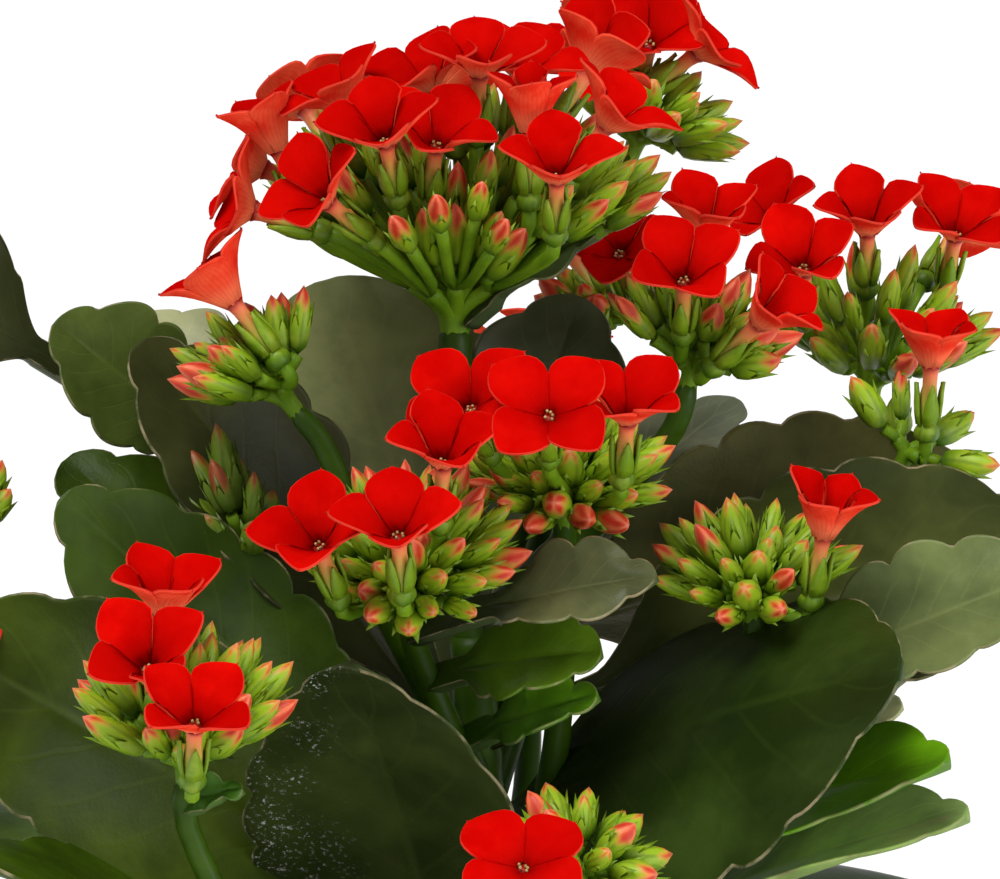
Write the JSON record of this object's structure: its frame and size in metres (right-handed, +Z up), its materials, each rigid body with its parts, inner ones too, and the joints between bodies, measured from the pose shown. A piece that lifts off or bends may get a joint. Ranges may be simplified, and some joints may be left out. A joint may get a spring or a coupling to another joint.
{
  "type": "potted flaming katy",
  "caption": "Flowering succulent in a round clay pot, with fleshy crenate leaves and domed heads of small red flowers and green buds. It stands by itself on the pot's flat foot.",
  "frame": {"origin": "middle of the pot's foot, on the surface that it stands on", "axes": "+Z up; -Y towards the side that the picture shows; +X to the right as that side is seen"},
  "size_m": [0.1637, 0.1651, 0.2566],
  "materials": {
    "clay": "matte",
    "peat": "matte",
    "leaves": "satin",
    "buds": "satin",
    "petals": "satin"
  },
  "bodies": {
    "root": {"pot": "clay", "soil": "peat", "leafy_stems": "leaves", "head_behind_left": "buds", "head_crown": "buds", "head_crown_back": "buds", "head_edge_left": "buds", "head_edge_low": "buds", "head_front_left": "buds", "head_front_mid": "buds", "head_front_right": "buds", "head_left_small": "buds", "head_low_front": "buds", "head_low_left": "buds", "head_rear_left": "buds", "head_rear_low": "buds", "head_rear_mid": "buds", "head_rear_right": "buds", "head_right_back": "buds", "head_right_high": "buds", "head_right_mid": "buds", "head_right_tip": "buds", "flowers_crown_1": "petals", "flowers_crown_10": "petals", "flowers_crown_11": "petals", "flowers_crown_2": "petals", "flowers_crown_3": "petals", "flowers_crown_4": "petals", "flowers_crown_5": "petals", "flowers_crown_6": "petals", "flowers_crown_7": "petals", "flowers_crown_8": "petals", "flowers_crown_9": "petals", "flowers_crown_back_1": "petals", "flowers_front_left_1": "petals", "flowers_front_left_2": "petals", "flowers_front_mid_1": "petals", "flowers_front_mid_2": "petals", "flowers_front_right_1": "petals", "flowers_left_small_1": "petals", "flowers_low_front_1": "petals", "flowers_low_left_1": "petals", "flowers_low_left_2": "petals", "flowers_right_back_1": "petals", "flowers_right_back_2": "petals", "flowers_right_high_1": "petals", "flowers_right_high_2": "petals", "flowers_right_high_3": "petals", "flowers_right_high_4": "petals", "flowers_right_high_5": "petals", "flowers_right_mid_1": "petals", "flowers_right_mid_2": "petals", "flowers_right_mid_3": "petals", "flowers_right_tip_1": "petals"}
  },
  "joints": []
}
